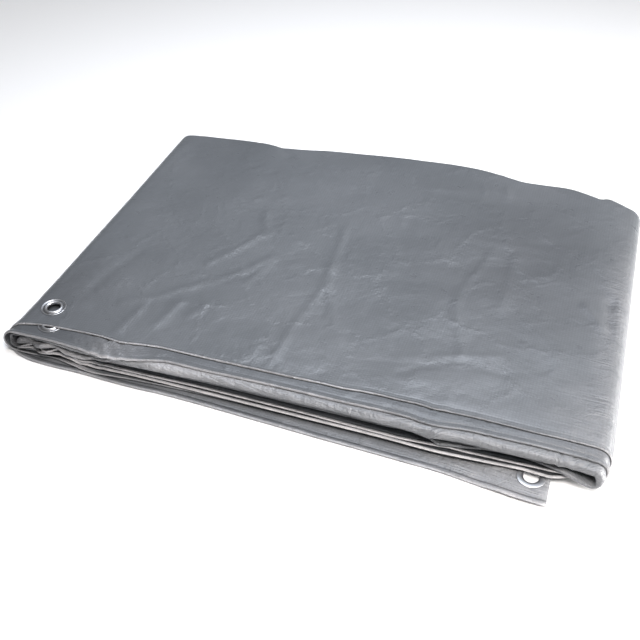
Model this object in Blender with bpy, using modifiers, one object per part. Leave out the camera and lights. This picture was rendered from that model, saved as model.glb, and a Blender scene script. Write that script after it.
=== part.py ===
"""Folded tarp: a hemmed sheet folded twice lengthwise and in three runs crosswise, with three metal eyelets showing.

The sheet is a sweep. Its lengthwise folds make a section of four plies, and the section follows a path
of three runs, bottom, top and middle, joined by a wrap at each end. Lengths below are in millimetres.
"""

import bpy
import math
import numpy as np

MM = 0.001

# cloth
CLOTH_T = 1.0
PLY_PITCH = 2.0
SHEET_WIDTH = 1493.0
HEM_WIDTH = 40.0
PARTING = 0.3

# path of the section, seen from the front
BOTTOM_END_X = 490.0
LEFT_WRAP_X = 1.0
RIGHT_WRAP_X = 521.0
MIDDLE_END_X = 9.0
BOTTOM_Z = 3.5
MIDDLE_Z = 12.4
TOP_LEFT_Z = 21.5
TOP_Z = 24.3
TOP_RIGHT_Z = 22.6
FOOT_Z = 3.8
TOP_RISE_X = (40.0, 120.0)
TOP_FALL_X = (470.0, 521.0)
FOOT_START_X = 492.5

# lengthwise folds
BACK_FOLD_DEPTH = 6.0
INNER_FOLD_DEPTH = 2.0
FRONT_FOLD_DEPTH = 1.4
FRONT_ROLL = 6.0
FRONT_ROLL_DEPTH = 4.5
FRONT_ROLL_REACH = 50.0
ROLL_LEFT_X = (30.0, 100.0)
ROLL_RIGHT_X = (490.0, 521.0)

# the middle run sags in front, where only two plies lie under it
MIDDLE_SAG = 4.4
SAG_MARGIN = 3.0
SAG_REACH = 14.0
SAG_RIGHT_X = (485.0, 516.0)
SAG_LEFT_X = (12.0, 70.0)

# the back of the pack puffs up in the middle and rolls down at the right
BACK_PUFF = 0.24
PUFF_Y = (140.0, 375.0)
RIGHT_DROP = 0.15
DROP_X = (480.0, 534.0)
DROP_Y = (30.0, 330.0)

# where each long edge and lengthwise fold lies, towards the back, row by row along the path
EDGE_COLUMNS = ("run", "x", "hem_one", "hem_two", "front_fold", "back_fold")
EDGE_ROWS = (
    ("bottom", 490, -28.0, 15.0, 27.0, 380),
    ("bottom", 440, -23.2, 13.0, 26.0, 392),
    ("bottom", 337, -16.0, 8.0, 24.0, 398),
    ("bottom", 230, -10.8, 3.0, 23.0, 398),
    ("bottom", 122, -8.5, -1.0, 21.0, 392),
    ("bottom", 70, -6.4, -3.6, 20.0, 386),
    ("bottom", 17, -3.6, 1.5, 18.0, 382),
    ("top", 4, 14.5, 4.5, 9.0, 387),
    ("top", 20, 19.6, 5.5, 7.0, 390),
    ("top", 56, 21.4, 6.8, 4.5, 394),
    ("top", 84, 21.0, 2.4, 2.5, 394),
    ("top", 104, 19.6, 3.0, 1.5, 391),
    ("top", 134, 22.8, 8.2, 1.0, 391),
    ("top", 226, 22.8, 10.0, 3.0, 400),
    ("top", 330, 24.6, 11.0, 2.0, 402),
    ("top", 388, 20.8, 5.8, 0.0, 397),
    ("top", 424, 23.4, 9.4, 1.5, 397),
    ("top", 460, 24.6, 9.2, 1.5, 399),
    ("top", 494, 22.4, 9.0, 1.5, 392),
    ("top", 520, 18.0, 7.2, 1.5, 388),
    ("middle", 518, 4.0, 1.5, 1.0, 379),
    ("middle", 470, -0.5, 0.6, 3.2, 386),
    ("middle", 390, -2.0, -1.2, 0.0, 392),
    ("middle", 280, -1.5, 0.4, 2.4, 396),
    ("middle", 122, 0.5, 2.4, 3.0, 388),
    ("middle", 9, 3.0, 4.0, 6.0, 378),
)

# eyelets: place along the run, distance from the hem's edge, and how far the cloth lifts round each
EYELET_COLUMNS = ("name", "hem", "run", "x", "from_edge", "lift")
EYELET_ROWS = (
    ("Eyelet_Top", "one", "top", 16.4, 25.5, 1.6),
    ("Eyelet_Second", "two", "top", 26.0, 20.0, 0.3),
    ("Eyelet_Flap", "one", "bottom", 475.0, 25.0, -0.9),
)
LIFT_FLAT_R = 30.0
LIFT_END_R = 44.0
EYELET_OUTER_D = 23.0
EYELET_HOLE_D = 12.6
BARREL_D = 13.8
FLANGE_T = 0.5
EYELET_SIDES = 40

# grid steps
RUN_CUTS = 14
WRAP_CUTS = 8
FOOT_CUTS = 4
FOLD_CUTS = 6
HEM_CUTS = (10.0, 23.0)
HEM_CUT_PLAY = 4.0
OUTER_PLY_CUTS = (140.0, 220.0, 300.0)
INNER_PLY_CUTS = (10.0, 23.0, 50.0, *OUTER_PLY_CUTS)
LEAST_STEP = 1.5

LEFT_WRAP_R = (TOP_LEFT_Z - BOTTOM_Z) / 2
RIGHT_WRAP_R = (TOP_RIGHT_Z - FOOT_Z) / 2
BOTTOM_LENGTH = BOTTOM_END_X - LEFT_WRAP_X
TOP_LENGTH = RIGHT_WRAP_X - LEFT_WRAP_X
MIDDLE_LENGTH = RIGHT_WRAP_X - MIDDLE_END_X
LEFT_WRAP_START = BOTTOM_LENGTH
TOP_START = LEFT_WRAP_START + math.pi * LEFT_WRAP_R
RIGHT_WRAP_START = TOP_START + TOP_LENGTH
MIDDLE_START = RIGHT_WRAP_START + math.pi * RIGHT_WRAP_R
PATH_END = MIDDLE_START + MIDDLE_LENGTH


def ease(value, start, end):
    """0 before start, 1 after end, and a smooth step between them."""
    part = np.clip((value - start) / (end - start), 0.0, 1.0)
    return part * part * (3 - 2 * part)


def path_length(run, x):
    """Distance along the path of a place x on the named run."""
    if run == "bottom":
        return BOTTOM_END_X - x
    if run == "top":
        return TOP_START + x - LEFT_WRAP_X
    return MIDDLE_START + RIGHT_WRAP_X - x


def edge(name, along):
    """Depth of a long edge or fold, a smooth curve through its column of EDGE_ROWS."""
    column = EDGE_COLUMNS.index(name)
    at = np.array([path_length(row[0], row[1]) for row in EDGE_ROWS])
    depth = np.array([row[column] for row in EDGE_ROWS], dtype=float)
    slope = np.gradient(depth, at)
    i = np.clip(np.searchsorted(at, along) - 1, 0, len(at) - 2)
    span = at[i + 1] - at[i]
    t = np.clip((along - at[i]) / span, 0.0, 1.0)
    start = (2 * t**3 - 3 * t**2 + 1) * depth[i] + (t**3 - 2 * t**2 + t) * span * slope[i]
    end = (3 * t**2 - 2 * t**3) * depth[i + 1] + (t**3 - t**2) * span * slope[i + 1]
    return start + end


def top_z(x):
    """Height of the top run's middle, which rises from the left wrap and falls to the right one."""
    rise = (TOP_Z - TOP_LEFT_Z) * ease(x, *TOP_RISE_X)
    fall = (TOP_Z - TOP_RIGHT_Z) * ease(x, *TOP_FALL_X)
    return TOP_LEFT_Z + rise - fall


def middle_z(x):
    """Height of the middle run, which comes down to the floor past the end of the bottom run."""
    return MIDDLE_Z - (MIDDLE_Z - FOOT_Z) * ease(x, FOOT_START_X, RIGHT_WRAP_X)


def path(along):
    """Point x, z of the section's middle at a distance along the path."""
    left_turn = (along - LEFT_WRAP_START) / LEFT_WRAP_R
    right_turn = (along - RIGHT_WRAP_START) / RIGHT_WRAP_R
    on_top = LEFT_WRAP_X + along - TOP_START
    on_middle = RIGHT_WRAP_X - along + MIDDLE_START
    where = [along < LEFT_WRAP_START, along < TOP_START, along < RIGHT_WRAP_START, along < MIDDLE_START]
    x_of = [
        BOTTOM_END_X - along,
        LEFT_WRAP_X - LEFT_WRAP_R * np.sin(left_turn),
        on_top,
        RIGHT_WRAP_X + RIGHT_WRAP_R * np.sin(right_turn),
    ]
    z_of = [
        BOTTOM_Z + 0 * along,
        BOTTOM_Z + LEFT_WRAP_R * (1 - np.cos(left_turn)),
        top_z(on_top),
        TOP_RIGHT_Z - RIGHT_WRAP_R * (1 - np.cos(right_turn)),
    ]
    return np.select(where, x_of, on_middle), np.select(where, z_of, middle_z(on_middle))


def inner_fold(along):
    """Depth of the inner back fold, which takes up what the other folds leave of the sheet's width."""
    laid = edge("hem_one", along) + edge("hem_two", along) + 2 * edge("front_fold", along)
    return (SHEET_WIDTH + laid - 2 * edge("back_fold", along)) / 2


def roll_share(along):
    """How far the front fold is puffed into a roll: fully in the top run, not at all in the others."""
    x, _ = path(along)
    on_top = (along > TOP_START) & (along < RIGHT_WRAP_START)
    return on_top * ease(x, *ROLL_LEFT_X) * (1 - ease(x, *ROLL_RIGHT_X))


def ply_level(number, along, y):
    """Offset of ply 0 to 3 from the path: outer, second, third and inner ply, lifted round the eyelets."""
    level = (1.5 - number) * PLY_PITCH + 0 * y
    if number == 3:
        near_front = 1 - ease(y - edge("front_fold", along), 0.0, FRONT_ROLL_REACH)
        level = level - FRONT_ROLL * roll_share(along) * near_front
    for name, hem, run, x, from_edge, lift in EYELET_ROWS:
        if number == ("one", "two").index(hem):
            here = path_length(run, x)
            away = np.hypot(along - here, y - edge("hem_" + hem, here) - from_edge)
            level = level + lift * (1 - ease(away, LIFT_FLAT_R, LIFT_END_R))
    return level


def fold(along, turn, number, y, depth):
    """Half round from one ply to the next: turn runs from 0 to 1, and depth is signed along y."""
    first = ply_level(number[0], along, y)
    last = ply_level(number[1], along, y)
    angle = math.pi * turn
    return y + depth * np.sin(angle), (first + last) / 2 + (first - last) / 2 * np.cos(angle)


def between(start, end, part):
    """Depth at the start of a leg for part 0, at its end for part 1, and otherwise the depth that part gives."""
    if part in (0, 1):
        return start + (end - start) * part
    order = INNER_PLY_CUTS.index(part) + 1
    return np.maximum(part, np.minimum(start, end) + order * LEAST_STEP)


def hem_depth(start, part):
    """Depth of a cut across a hem that starts at its edge: near depth part, or a distance from the edge."""
    if part in HEM_CUTS:
        return start + np.clip(part - start, part - HEM_CUT_PLAY, part + HEM_CUT_PLAY)
    return start + part


def section(along, leg, part):
    """Depth y and offset of a point of the folded sheet, part of the way down one of its nine legs."""
    one = edge("hem_one", along)
    two = edge("hem_two", along)
    front_depth = FRONT_FOLD_DEPTH + (FRONT_ROLL_DEPTH - FRONT_FOLD_DEPTH) * roll_share(along)
    front = edge("front_fold", along) + front_depth
    back = edge("back_fold", along) - BACK_FOLD_DEPTH
    inner = np.minimum(inner_fold(along), back - INNER_FOLD_DEPTH) - INNER_FOLD_DEPTH
    if leg == "hem one":
        y = hem_depth(one, part)
        return y, ply_level(0, along, y)
    if leg == "outer ply":
        y = between(one + HEM_WIDTH + PARTING, back, part)
        return y, ply_level(0, along, y)
    if leg == "back fold":
        return fold(along, part, (0, 3), back, BACK_FOLD_DEPTH)
    if leg == "inner ply":
        y = between(back, front, part)
        return y, ply_level(3, along, y)
    if leg == "front fold":
        return fold(along, part, (3, 2), front, -front_depth)
    if leg == "third ply":
        y = between(front, inner, part)
        return y, ply_level(2, along, y)
    if leg == "inner fold":
        return fold(along, part, (2, 1), inner, INNER_FOLD_DEPTH)
    if leg == "second ply":
        y = between(inner, two + HEM_WIDTH + PARTING, part)
        return y, ply_level(1, along, y)
    y = hem_depth(two, part)
    return y, ply_level(1, along, y)


def settle(along, x, y, z):
    """The pack's own sag, puff and droop, worked on a point of the straight sweep."""
    in_middle = ease(along, RIGHT_WRAP_START, MIDDLE_START)
    free = (1 - ease(x, *SAG_RIGHT_X)) * ease(x, *SAG_LEFT_X)
    flap_x = path_length("bottom", np.clip(x, 0, BOTTOM_END_X))
    bare = edge("front_fold", flap_x) - SAG_MARGIN
    z = z - in_middle * MIDDLE_SAG * free * (1 - ease(y, bare - SAG_REACH, bare))
    puff = BACK_PUFF * ease(y, *PUFF_Y) * np.sin(math.pi * np.clip(x / RIGHT_WRAP_X, 0, 1))
    drop = RIGHT_DROP * ease(x, *DROP_X) * ease(y, *DROP_Y)
    floor_z = CLOTH_T / 2
    return x, y, floor_z + (z - floor_z) * (1 + puff - drop)


def place(along, leg, part):
    """Point of the finished sheet."""
    along = np.asarray(along, dtype=float)
    y, offset = section(along, leg, part)
    step = 0.01
    ahead_x, ahead_z = path(along + step)
    behind_x, behind_z = path(along - step)
    run = np.hypot(ahead_x - behind_x, ahead_z - behind_z)
    x, z = path(along)
    x = x - offset * (ahead_z - behind_z) / run
    z = z + offset * (ahead_x - behind_x) / run
    return np.stack(settle(along, x, y, z), axis=-1)


def path_cuts():
    """Distances along the path at which the sheet is cut into steps, with one flat step under each eyelet."""
    bottom = [0.0, *np.linspace(path_length("bottom", 462), LEFT_WRAP_START, RUN_CUTS + 1)]
    left = np.linspace(LEFT_WRAP_START, TOP_START, WRAP_CUTS + 1)[1:]
    top = [path_length("top", 4), *np.linspace(path_length("top", 38.5), RIGHT_WRAP_START, RUN_CUTS + 1)]
    right = np.linspace(RIGHT_WRAP_START, MIDDLE_START, WRAP_CUTS + 1)[1:]
    foot_end = path_length("middle", FOOT_START_X)
    foot = np.linspace(MIDDLE_START, foot_end, FOOT_CUTS + 1)[1:]
    middle = np.linspace(foot_end, PATH_END, RUN_CUTS + 1)[1:]
    return np.concatenate([bottom, left, top, right, foot, middle])


def strip_rows(legs, cuts):
    """Rows of points, one for each step across the named legs of the section."""
    rows = []
    for leg, parts in legs:
        for part in parts:
            rows.append(place(cuts, leg, part))
    return np.array(rows)


def grid_object(name, rows, collection, parent, material):
    """A surface through rows of points, thickened to the cloth."""
    count, across = rows.shape[:2]
    faces = []
    for i in range(count - 1):
        for j in range(across - 1):
            a = i * across + j
            faces.append((a, a + 1, a + across + 1, a + across))
    mesh = bpy.data.meshes.new(name)
    mesh.from_pydata((rows.reshape(-1, 3) * MM).tolist(), [], faces)
    mesh.materials.append(material)
    made = bpy.data.objects.new(name, mesh)
    collection.objects.link(made)
    made.parent = parent
    thick = made.modifiers.new("Cloth", "SOLIDIFY")
    thick.thickness = CLOTH_T * MM
    thick.offset = 0.0
    return made


def body_legs():
    """Legs and steps of the cloth between its two hems."""
    turn = np.linspace(0, 1, FOLD_CUTS + 1)[1:-1]
    return (
        ("outer ply", (0, *OUTER_PLY_CUTS, 1)),
        ("back fold", turn),
        ("inner ply", (0, *INNER_PLY_CUTS[::-1], 1)),
        ("front fold", turn),
        ("third ply", (0, *INNER_PLY_CUTS, 1)),
        ("inner fold", turn),
        ("second ply", (0, *OUTER_PLY_CUTS[::-1], 1)),
    )


def fabric(name, colour, roughness):
    """Coated woven plastic cloth."""
    made = bpy.data.materials.new(name)
    made.use_nodes = True
    shader = made.node_tree.nodes["Principled BSDF"]
    shader.inputs["Base Color"].default_value = (*colour, 1)
    shader.inputs["Roughness"].default_value = roughness
    return made


def plated_steel(name):
    """Nickel-plated steel."""
    made = fabric(name, (0.62, 0.62, 0.60), 0.28)
    made.node_tree.nodes["Principled BSDF"].inputs["Metallic"].default_value = 1.0
    return made


def eyelet_axis(row):
    """Centre and unit axis of an eyelet, square to the cloth at its place."""
    _, hem, run, x, from_edge, _ = row
    leg = "hem " + hem
    here = path_length(run, x)
    centre = place(here, leg, from_edge)
    reach = LIFT_FLAT_R / 2
    along = place(here + reach, leg, from_edge) - place(here - reach, leg, from_edge)
    across = place(here, leg, from_edge + reach) - place(here, leg, from_edge - reach)
    axis = np.cross(along, across)
    return centre, axis / np.linalg.norm(axis)


def turn_to(made, centre, axis, parent):
    """Stand an object at a centre with its Z along an axis."""
    from mathutils import Vector

    made.parent = parent
    made.location = Vector(centre * MM)
    made.rotation_mode = "QUATERNION"
    made.rotation_quaternion = Vector(axis).to_track_quat("Z", "Y")


def eyelet(row, collection, parent, material):
    """One-piece eyelet: a barrel through the hem with a flange on each side, turned from its profile."""
    inner = EYELET_HOLE_D / 2
    barrel = BARREL_D / 2
    outer = EYELET_OUTER_D / 2
    seat = CLOTH_T / 2 + PARTING
    face = seat + FLANGE_T
    half = [(barrel, seat), (outer, seat), (outer - 0.4, face), (inner + 0.5, face), (inner, seat)]
    profile = half + [(r, -z) for r, z in reversed(half)]
    mesh = bpy.data.meshes.new(row[0])
    points = [(r * MM, 0, z * MM) for r, z in profile]
    mesh.from_pydata(points, [(i, (i + 1) % len(points)) for i in range(len(points))], [])
    mesh.materials.append(material)
    made = bpy.data.objects.new(row[0], mesh)
    collection.objects.link(made)
    screw = made.modifiers.new("Turned", "SCREW")
    screw.steps = EYELET_SIDES
    screw.render_steps = EYELET_SIDES
    screw.use_merge_vertices = True
    screw.merge_threshold = 0.00001
    screw.use_normal_calculate = True
    screw.use_normal_flip = True
    turn_to(made, *eyelet_axis(row), parent)
    return made


def hole_cutter(row, collection, parent):
    """Cylinder that cuts the eyelet's hole through its hem."""
    radius = (BARREL_D / 2 + PARTING) * MM
    bpy.ops.mesh.primitive_cylinder_add(vertices=EYELET_SIDES, radius=radius, depth=3 * CLOTH_T * MM)
    made = bpy.context.object
    made.name = "Cut_" + row[0]
    for used in made.users_collection:
        used.objects.unlink(made)
    collection.objects.link(made)
    made.display_type = "WIRE"
    made.hide_render = True
    turn_to(made, *eyelet_axis(row), parent)
    return made


def cut_holes(hem, hem_name, cutters):
    """Cut the holes of one hem's eyelets."""
    for row, cutter in zip(EYELET_ROWS, cutters):
        if row[1] == hem_name:
            cut = hem.modifiers.new("Hole", "BOOLEAN")
            cut.operation = "DIFFERENCE"
            cut.solver = "EXACT"
            cut.object = cutter


def stand_on_origin(parent, parts):
    """Move the pack so that the bottom centre of its box is the origin."""
    bpy.context.view_layer.update()
    depsgraph = bpy.context.evaluated_depsgraph_get()
    low = np.full(3, math.inf)
    high = -low
    for made in parts:
        shown = made.evaluated_get(depsgraph)
        points = np.array([made.matrix_world @ v.co for v in shown.to_mesh().vertices])
        shown.to_mesh_clear()
        low = np.minimum(low, points.min(axis=0))
        high = np.maximum(high, points.max(axis=0))
    parent.location = (-(low[0] + high[0]) / 2, -(low[1] + high[1]) / 2, -low[2])


def build():
    for old in list(bpy.data.objects):
        bpy.data.objects.remove(old)
    tarp = bpy.data.collections.new("Folded_Tarp")
    cutters = bpy.data.collections.new("Cutters")
    bpy.context.scene.collection.children.link(tarp)
    bpy.context.scene.collection.children.link(cutters)
    pack = bpy.data.objects.new("Pack", None)
    tarp.objects.link(pack)

    cloth = fabric("Coated_Tarp_Cloth", (0.21, 0.23, 0.26), 0.5)
    hem_cloth = fabric("Hem_Cloth", (0.24, 0.26, 0.29), 0.5)
    nickel = plated_steel("Nickel_Plate")

    cuts = path_cuts()
    body = grid_object("Tarp_Cloth", strip_rows(body_legs(), cuts), tarp, pack, cloth)
    hem_one = grid_object(
        "Hem_One", strip_rows([("hem one", (0, *HEM_CUTS, HEM_WIDTH))], cuts), tarp, pack, hem_cloth
    )
    hem_two = grid_object(
        "Hem_Two", strip_rows([("hem two", (0, *HEM_CUTS, HEM_WIDTH))], cuts), tarp, pack, hem_cloth
    )
    holes = [hole_cutter(row, cutters, pack) for row in EYELET_ROWS]
    cut_holes(hem_one, "one", holes)
    cut_holes(hem_two, "two", holes)
    eyelets = [eyelet(row, tarp, pack, nickel) for row in EYELET_ROWS]
    stand_on_origin(pack, [body, hem_one, hem_two, *eyelets])


build()
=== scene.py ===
"""Folded grey tarp: a hemmed sheet of coated woven cloth, folded lengthwise and then in three runs.

Three of its eyelets show. Lengths are in millimetres in the pack's own frame: x along the front to the
right, y to the back from the front left corner, z up from the floor. They turn into metres when a surface
is handed to Blender.
"""

import math

import bpy
import numpy as np
from mathutils import Matrix, Vector


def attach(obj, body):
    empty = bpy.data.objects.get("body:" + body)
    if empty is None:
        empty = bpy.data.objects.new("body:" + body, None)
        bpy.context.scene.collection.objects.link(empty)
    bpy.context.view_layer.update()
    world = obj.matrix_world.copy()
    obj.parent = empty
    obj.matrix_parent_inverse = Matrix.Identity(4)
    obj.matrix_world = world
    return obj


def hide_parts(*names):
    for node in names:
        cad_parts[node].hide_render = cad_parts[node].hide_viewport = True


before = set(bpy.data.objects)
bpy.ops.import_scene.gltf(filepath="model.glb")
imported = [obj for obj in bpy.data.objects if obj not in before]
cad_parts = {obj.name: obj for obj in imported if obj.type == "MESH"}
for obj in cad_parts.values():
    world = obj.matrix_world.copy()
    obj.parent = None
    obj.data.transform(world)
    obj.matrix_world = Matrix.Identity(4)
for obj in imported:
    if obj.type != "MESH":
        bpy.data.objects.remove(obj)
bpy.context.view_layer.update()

MM = 0.001
FRAME_SHIFT = np.array([-260.4, -187.525, 0.0])

# the sheet and its hems
CLOTH_T = 0.6
HEM_T = 1.1
BEAD_T = 1.7
RIM_T = 0.7
FACE_OFFSET = 0.5
SHEET_WIDTH = 1493.0
HEM_WIDTH = 40.0
PLY_PITCH = 2.0
MIDDLE_PLY = 1.5
EDGE_ROUND = 1.6
EDGE_DROP = 0.9
GROOVE_AT = 5.0
GROOVE_HALF = 0.8
GROOVE_DEPTH = 0.4
GROOVE_X = (300.0, 360.0)

# rows across a hem from its edge inward, as (distance, thickness): a bead, a groove and the flat strip
HEM_ROWS = (
    (0, RIM_T), (0.4, 1.2), (1.0, 1.55), (1.9, BEAD_T), (3.4, 1.5), (4.3, 1.0), (5.0, 0.8), (5.7, 0.9),
    (6.8, HEM_T), (11, HEM_T), (15, HEM_T), (19, HEM_T), (23, HEM_T), (27, HEM_T), (31, HEM_T),
    (35.5, HEM_T), (39.4, HEM_T),
)

# painted light, as shares of 1: painted highlights on the hems' edges, on the lengthwise folds and in two
# creased bands of hem two, and painted light over the flap
EDGE_HIGHLIGHT = 0.8
EDGE_HIGHLIGHT_REACH = 1.1
LOW_EDGE_HIGHLIGHT_REACH = 1.8
EDGE_HIGHLIGHT_FADES_X = (300.0, 430.0)
EDGE_HIGHLIGHT_FADE = 0.6
FLAP_EDGE_SHARE = 0.65
MIDDLE_EDGE_SHARE = 1.7
FOLD_HIGHLIGHT = 0.24
INNER_PLY_HIGHLIGHT = (0.93, 1.0)
THIRD_PLY_HIGHLIGHT = (0.0, 0.06)
MIDDLE_FOLD_HIGHLIGHT = 0.5
MIDDLE_FOLD_HIGHLIGHT_X = (90.0, 200.0)
ROLL_HIGHLIGHT = 0.3
ROLL_HIGHLIGHT_X = 165.0
ROLL_HIGHLIGHT_REACH = 70.0
FLAP_PAINTED_LIGHT = 0.13
FLAP_END_PAINTED_LIGHT = 0.22
FLAP_END_PAINTED_LIGHT_X = (360.0, 450.0)
TOP_BAND_X = 95.0
TOP_BAND_REACH = 28.0
LOW_BAND_HIGHLIGHT = 0.6
LOW_BAND_X = 64.0
LOW_BAND_REACH = 15.0

# painted shade, as shares of 1: in the flap's seam, below the hems' edges and in the folds of the left end
SEAM_PAINTED_SHADE = 0.9
BELOW_EDGE_PAINTED_SHADE = 0.22
BELOW_EDGE_STARTS = (2.0, 6.0)
BETWEEN_PAINTED_SHADE = 0.7
BETWEEN_STARTS = (1.9, 3.4)
BETWEEN_ENDS = (6.0, 9.0)
END_PAINTED_SHADE = 0.8
HEM_END_PAINTED_SHADE = 0.6
WRAP_SHADE_FADE = 30.0

# path of the folded section, seen from the front: bottom, top and middle run, and the wraps between them
BOTTOM_END_X = 490.0
LEFT_WRAP_X = 1.0
RIGHT_WRAP_X = 521.0
MIDDLE_END_X = 9.0
BOTTOM_Z = 3.5
MIDDLE_Z = 12.4
TOP_LEFT_Z = 21.5
TOP_Z = 24.3
TOP_RIGHT_Z = 22.6
FOOT_Z = 3.8
TOP_RISE_X = (40.0, 120.0)
TOP_FALL_X = (470.0, 521.0)
FOOT_START_X = 492.5
LEFT_WRAP_R = (TOP_LEFT_Z - BOTTOM_Z) / 2
RIGHT_WRAP_R = (TOP_RIGHT_Z - FOOT_Z) / 2
LEFT_WRAP_START = BOTTOM_END_X - LEFT_WRAP_X
TOP_START = LEFT_WRAP_START + math.pi * LEFT_WRAP_R
RIGHT_WRAP_START = TOP_START + RIGHT_WRAP_X - LEFT_WRAP_X
MIDDLE_START = RIGHT_WRAP_START + math.pi * RIGHT_WRAP_R
ROLL_OUT = (RIGHT_WRAP_START + 15.0, RIGHT_WRAP_START + 30.0)
PATH_END = MIDDLE_START + RIGHT_WRAP_X - MIDDLE_END_X
PATH_STEP = 0.01
MIDDLE_SHADE_STARTS = (MIDDLE_START - 5, MIDDLE_START + 20)

# lengths of the path that show: the flap, the middle run at the right, and each run at the left end
FLAP_SHOWS = 190.0
RIGHT_SHOWS = 34.0
LEFT_SHOWS = 95.0

# lengthwise folds
BACK_FOLD_DEPTH = 6.0
INNER_FOLD_DEPTH = 2.0
FRONT_FOLD_DEPTH = 1.4
FRONT_ROLL = 5.2
FRONT_ROLL_DEPTH = 4.5
FRONT_ROLL_REACH = 50.0
ROLL_LEFT_X = (45.0, 120.0)
ROLL_RIDGES = 0.07
ROLL_RIDGE_TURNS = 4
ROLL_TWIST = 60.0

# the middle run sags in front, and the back of the pack puffs up and rolls down at the right
MIDDLE_SAG = 4.4
SAG_MARGIN = 3.0
SAG_REACH = 14.0
SAG_RIGHT_X = (485.0, 516.0)
SAG_LEFT_X = (12.0, 70.0)
BACK_PUFF = 0.24
PUFF_Y = (140.0, 375.0)
RIGHT_DROP = 0.15
DROP_X = (480.0, 534.0)
DROP_Y = (30.0, 330.0)

# how far the left side lies out to the right, as (y, x)
LEFT_LEAN = (
    (0.0, -5.6), (8.0, -1.0), (16.0, 0.5), (24.0, 2.0),
    (50.0, 2.6), (140.0, 1.4), (240.0, 0.4), (390.0, -2.5),
)
LEAN_X = (-10.0, 60.0)

# the middle run's free end fans out and waves inside the left wrap
LOOSE_END = 60.0
LOOSE_FAN = 1.1
LOOSE_WAVE = 1.7
LOOSE_WAVE_LENGTH = 24.0
LOOSE_WAVE_LAG = 2.1
LOOSE_WAVE_SLANT = 7.0

# the relief of the top fades at both wraps, and the plies under the outer one sink clear of it
RELIEF_STARTS = (TOP_START, TOP_START + 25)
RELIEF_ENDS = (RIGHT_WRAP_START - 12, RIGHT_WRAP_START + 8)
SWELL_Y = (20.0, 60.0)
INNER_SINK = 1.6
SINK_Y = (25.0, 70.0)

# the inner plies lie slack in the left wrap, and the front roll is pinched at one place
LEFT_SLACK = 3.4
PINCH_X = 388.0
PINCH_WIDTH = 6.0
PINCH_DROP = 2.6

# short wrinkles in front: run, plies, place x, half length, wavelength, slant and height. Those of the
# bottom run only rise, because the floor is under them.
WRINKLES = (
    ("top", (1, 2, 3), 95.0, 24.0, 14.0, 0.9, 0.8),
    ("top", (1, 2, 3), 384.0, 8.0, 8.0, 0.2, 0.6),
    ("top", (1, 2, 3), 436.0, 4.0, 8.0, 0.0, 0.5),
    ("top", (2, 3), 495.0, 11.0, 10.0, 1.2, 1.0),
    ("bottom", (0, 1), 68.0, 14.0, 13.0, 1.3, 0.9),
    ("middle", (0, 1, 2, 3), 70.0, 26.0, 17.0, 0.8, 0.7),
    ("middle", (1, 2, 3), 405.0, 10.0, 14.0, 0.5, 1.0),
)
WRINKLE_Y = (18.0, 40.0)

# depth of each long edge and lengthwise fold as (x, y), run by run in the order of the path
HEM_ONE = {
    "bottom": (
        (490, -28.5), (470, -27.3), (438, -23.2), (405, -18.9), (372, -17.2), (337, -15.6), (302, -14.2),
        (266, -12.4), (229, -10.6), (190, -8.6), (151, -7.5), (122, -8.1), (96, -7.2), (70, -6.0),
        (39, -5.9), (17, -4.0),
    ),
    "top": (
        (4, 16.0), (20, 19.5), (38, 20.6), (56, 21.5), (70, 21.3), (84, 20.4), (104, 18.0), (121, 20.2),
        (139, 22.3), (158, 22.2), (178, 22.0), (226, 22.2), (261, 22.3), (290, 23.0), (312, 22.8),
        (325, 24.0), (341, 24.6), (356, 24.1), (376, 24.3), (387, 23.0), (402, 23.3), (416, 23.8),
        (445, 23.2), (474, 22.3), (501, 23.0), (520, 22.6),
    ),
    "middle": (
        (518, 14.0), (500, 1.0), (465, -0.4), (433, -1.9), (401, -3.2), (350, -1.5), (279, -0.5),
        (186, 0.9), (122, 1.6), (60, 1.4), (45, 3.0), (30, -1.0), (20, 4.0), (9, -2.0),
    ),
}
HEM_TWO = {
    "bottom": (
        (490, 15.0), (440, 13.0), (337, 8.0), (230, 3.0), (148, 0.5), (122, -0.8), (109, -1.5), (75, -3.6),
        (56, 0.0), (40, 2.8), (17, 1.5),
    ),
    "top": (
        (4, 3.8), (20, 4.0), (40, 3.9), (60, 2.4), (74, 0.8), (88, -1.8), (100, -2.6), (112, -1.0),
        (127, 2.2), (140, 5.8), (151, 8.4), (166, 8.6), (185, 8.3), (212, 8.9), (277, 9.3), (312, 8.9),
        (346, 9.3), (368, 8.9), (389, 6.5), (402, 7.4), (413, 8.9), (445, 9.6), (492, 9.8), (507, 9.8),
        (520, 9.0),
    ),
    "middle": (
        (518, 7.0), (500, 3.4), (480, 3.4), (448, 2.6), (416, 2.2), (390, 1.4), (366, 0.2), (349, 0.7),
        (314, 1.7), (278, 3.0), (242, 3.6), (185, 4.4), (127, 3.8), (86, 3.4), (60, 2.8), (46, 7.0),
        (34, 0.0), (22, 6.0), (9, -1.0),
    ),
}
FRONT_FOLD = {
    "bottom": (
        (490, 27.0), (440, 26.0), (337, 24.0), (230, 23.0), (122, 21.0), (70, 17.0), (40, 9.0), (17, 4.5),
    ),
    "top": (
        (4, 5.0), (20, 5.4), (43, 4.4), (62, 2.2), (84, 1.8), (104, 1.4), (128, 1.0), (155, 1.9),
        (185, 3.0), (241, 2.8), (278, 2.4), (313, 2.7), (348, 1.5), (370, 1.1), (393, -0.3), (415, 1.4),
        (448, 1.4), (479, 1.6), (510, 2.0), (520, 1.0),
    ),
    "middle": (
        (518, -2.0), (511, -1.4), (500, 0.4), (488, 5.0), (470, 8.6), (436, 8.0), (410, 3.0), (398, 1.0),
        (388, 6.5), (349, 8.2), (278, 8.8), (185, 9.0), (127, 8.0), (86, 6.0), (50, 2.6), (40, 5.5),
        (28, -1.0), (18, 5.0), (9, 0.0),
    ),
}
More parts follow.
